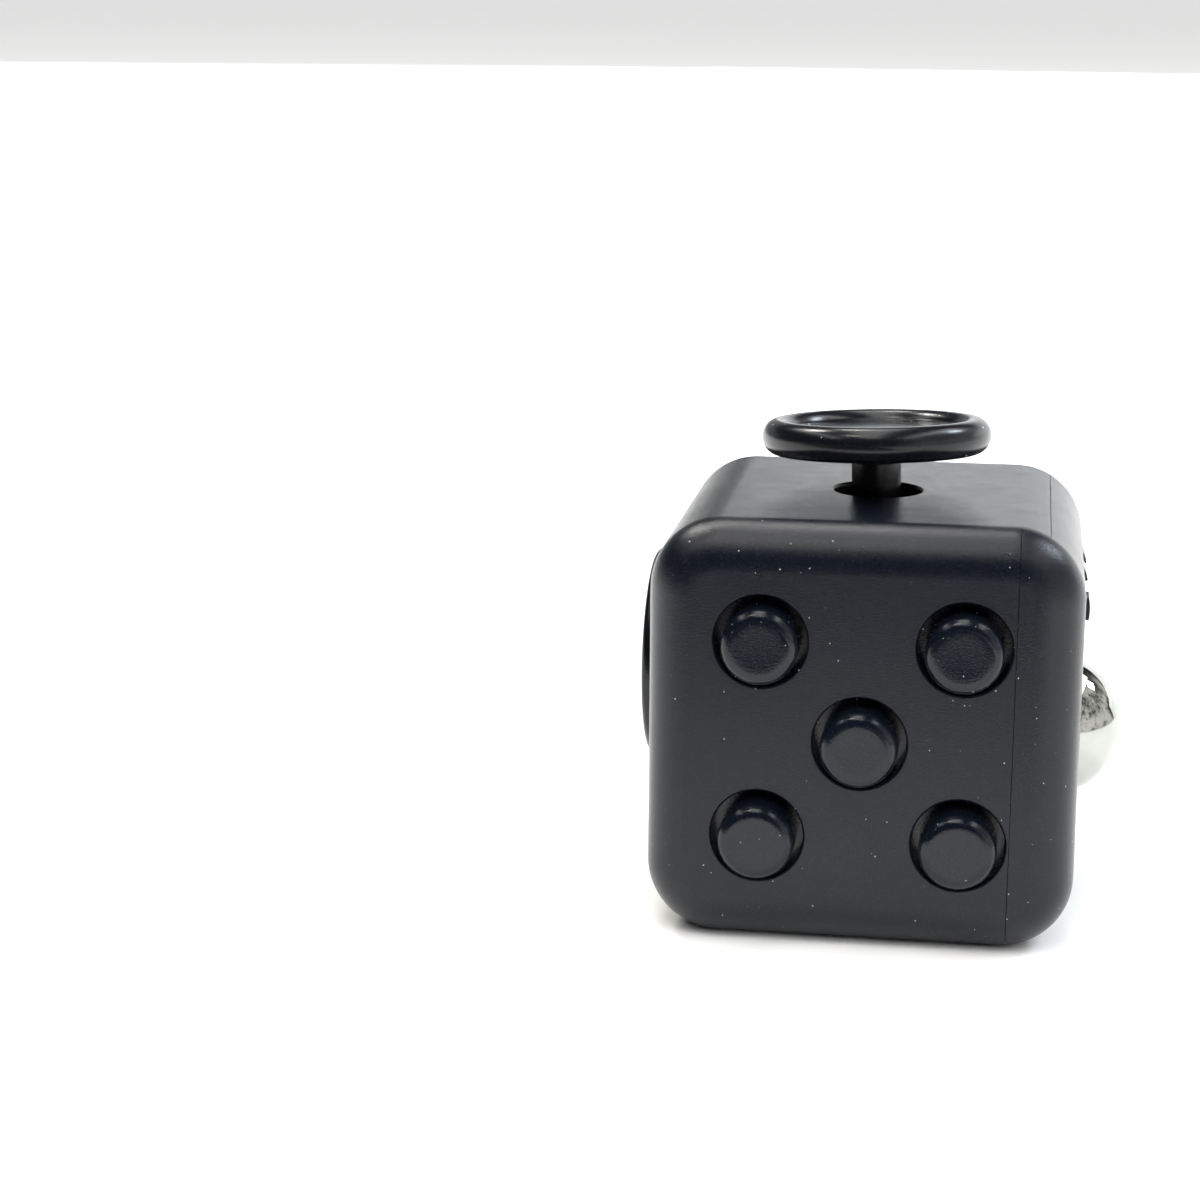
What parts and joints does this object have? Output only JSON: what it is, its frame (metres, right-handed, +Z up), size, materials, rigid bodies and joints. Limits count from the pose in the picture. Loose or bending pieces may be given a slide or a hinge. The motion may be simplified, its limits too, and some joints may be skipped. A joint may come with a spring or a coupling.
{
  "type": "fidget cube",
  "caption": "Pocket fidget cube with push buttons, a tilting joystick, a rolling steel ball, toothed wheels, a finger dial, a rocker switch and a thumb dish.",
  "frame": {"origin": "centre of the flat underside that the cube rests on", "axes": "+Z up towards the joystick, -Y towards the side with the push buttons, +X towards the ball and the toothed wheels"},
  "size_m": [0.0382, 0.0361, 0.0392],
  "materials": {
    "case_plastic": "fine satin grain",
    "control_plastic": "polished edges",
    "inner_plastic": "moulded",
    "nylon": "smooth",
    "silicone": "soft",
    "ball_steel": "mirror polished",
    "spring_steel": "stamped",
    "screw_steel": "zinc plated",
    "brass": "stamped"
  },
  "bodies": {
    "case": {"case_body": "case_plastic", "side_cover": "case_plastic", "snap_dome_1": "spring_steel", "snap_dome_2": "spring_steel", "snap_dome_3": "spring_steel", "silicone_pad_4": "silicone", "silicone_pad_5": "silicone", "button_backplate": "inner_plastic", "backplate_screws": "screw_steel", "joystick_housing": "inner_plastic", "housing_screws": "screw_steel", "centring_cushion": "silicone", "ball_dome": "spring_steel", "ball_retainer": "inner_plastic", "retainer_screws": "screw_steel", "gear_axle": "screw_steel", "gear_spacers": "inner_plastic", "gear_cradle": "inner_plastic", "gear_click_comb": "spring_steel", "cradle_screws": "screw_steel", "dial_washer": "brass", "dial_click_spring": "spring_steel", "click_spring_screw": "screw_steel", "rocker_housing": "case_plastic", "rocker_pin": "screw_steel", "rocker_snap_spring": "spring_steel"},
    "button_1": {"button_cap_1": "control_plastic"},
    "button_2": {"button_cap_2": "control_plastic"},
    "button_3": {"button_cap_3": "control_plastic"},
    "button_4": {"button_cap_4": "control_plastic"},
    "button_5": {"button_cap_5": "control_plastic"},
    "gimbal": {"gimbal_ring": "nylon"},
    "joystick": {"joystick_knob": "control_plastic", "joystick_foot": "inner_plastic", "joystick_foot_screw": "screw_steel"},
    "cup": {"ball_cup": "nylon"},
    "ball": {"roller_ball": "ball_steel"},
    "gear_front_wheel": {"gear_front": "control_plastic"},
    "gear_middle_wheel": {"gear_middle": "control_plastic"},
    "gear_back_wheel": {"gear_back": "control_plastic"},
    "dial": {"dial_knob": "control_plastic", "detent_wheel": "nylon", "dial_screw": "screw_steel"},
    "rocker": {"rocker_switch": "control_plastic"}
  },
  "joints": [
    {"name": "button_1_press", "type": "slide", "parent": "case", "child": "button_1", "axis": [0, 1, 0], "range_m": [0, 0.0008], "stiffness_N_per_m": 400, "deforming": ["snap_dome_1"]},
    {"name": "button_2_press", "type": "slide", "parent": "case", "child": "button_2", "axis": [0, 1, 0], "range_m": [0, 0.0008], "stiffness_N_per_m": 400, "deforming": ["snap_dome_2"]},
    {"name": "button_3_press", "type": "slide", "parent": "case", "child": "button_3", "axis": [0, 1, 0], "range_m": [0, 0.0008], "stiffness_N_per_m": 400, "deforming": ["snap_dome_3"]},
    {"name": "button_4_press", "type": "slide", "parent": "case", "child": "button_4", "axis": [0, 1, 0], "range_m": [0, 0.0008], "stiffness_N_per_m": 250, "deforming": ["silicone_pad_4"]},
    {"name": "button_5_press", "type": "slide", "parent": "case", "child": "button_5", "axis": [0, 1, 0], "range_m": [0, 0.0008], "stiffness_N_per_m": 250, "deforming": ["silicone_pad_5"]},
    {"name": "joystick_tilt_front_back", "type": "hinge", "parent": "case", "child": "gimbal", "pos_m": [0, 0, 0.0285], "axis": [1, 0, 0], "range_deg": [-8.2, 15.8], "stiffness_Nm_per_rad": 0.02},
    {"name": "joystick_tilt_left_right", "type": "hinge", "parent": "gimbal", "child": "joystick", "pos_m": [0, 0, 0.0285], "axis": [0, 0.9978, -0.0663], "range_deg": [-10.2, 13.8], "stiffness_Nm_per_rad": 0.02},
    {"name": "ball_press", "type": "slide", "parent": "case", "child": "cup", "axis": [-1, 0, 0], "range_m": [0, 0.0006], "stiffness_N_per_m": 1500, "deforming": ["ball_dome"]},
    {"name": "ball_roll", "type": "hinge", "parent": "cup", "child": "ball", "pos_m": [0.01476, 0, 0.0142], "axis": [0, 1, 0], "continuous": true},
    {"name": "gear_front_spin", "type": "hinge", "parent": "case", "child": "gear_front_wheel", "pos_m": [0.01255, -0.0065, 0.0256], "axis": [0, 1, 0], "continuous": true},
    {"name": "gear_middle_spin", "type": "hinge", "parent": "case", "child": "gear_middle_wheel", "pos_m": [0.01255, 0, 0.0256], "axis": [0, 1, 0], "continuous": true},
    {"name": "gear_back_spin", "type": "hinge", "parent": "case", "child": "gear_back_wheel", "pos_m": [0.01255, 0.0065, 0.0256], "axis": [0, 1, 0], "continuous": true},
    {"name": "dial_spin", "type": "hinge", "parent": "case", "child": "dial", "pos_m": [-0.0165, 0, 0.0189], "axis": [-1, 0, 0], "continuous": true},
    {"name": "rocker_flip", "type": "hinge", "parent": "case", "child": "rocker", "pos_m": [0, 0.0144, 0.0165], "axis": [1, 0, 0], "range_deg": [0, 20]}
  ]
}
